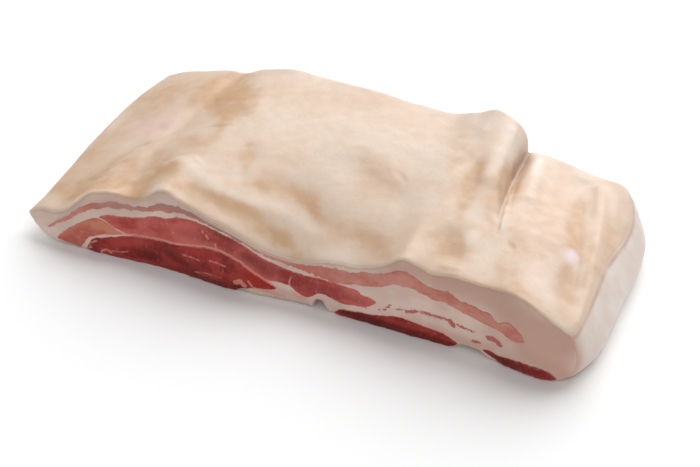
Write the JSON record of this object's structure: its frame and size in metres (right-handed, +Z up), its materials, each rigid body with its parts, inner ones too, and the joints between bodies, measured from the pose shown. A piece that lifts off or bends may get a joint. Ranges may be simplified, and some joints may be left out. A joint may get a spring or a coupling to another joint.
{
  "type": "pork belly slab",
  "caption": "Raw pork belly slab lying rind side up, with lean layers running through its fat and a fold in the rind.",
  "frame": {"origin": "middle of the slab's box, on the surface that it lies on", "axes": "+X along the slab's length towards its blunt end, +Y from the near cut to the far cut, +Z up through the rind"},
  "size_m": [0.473, 0.2227, 0.0847],
  "materials": {
    "fat_and_rind": "pale rind and fat, satin, slightly moist",
    "pale_lean": "pale lean, moist",
    "lean": "raw lean, moist",
    "dark_lean": "dark raw lean, wet"
  },
  "bodies": {
    "root": {"fat_and_rind": "fat_and_rind", "upper_streak": "pale_lean", "main_lean": "lean", "left_lean": "lean", "lower_lean": "dark_lean", "right_lean": "dark_lean", "end_lean": "dark_lean"}
  },
  "joints": []
}
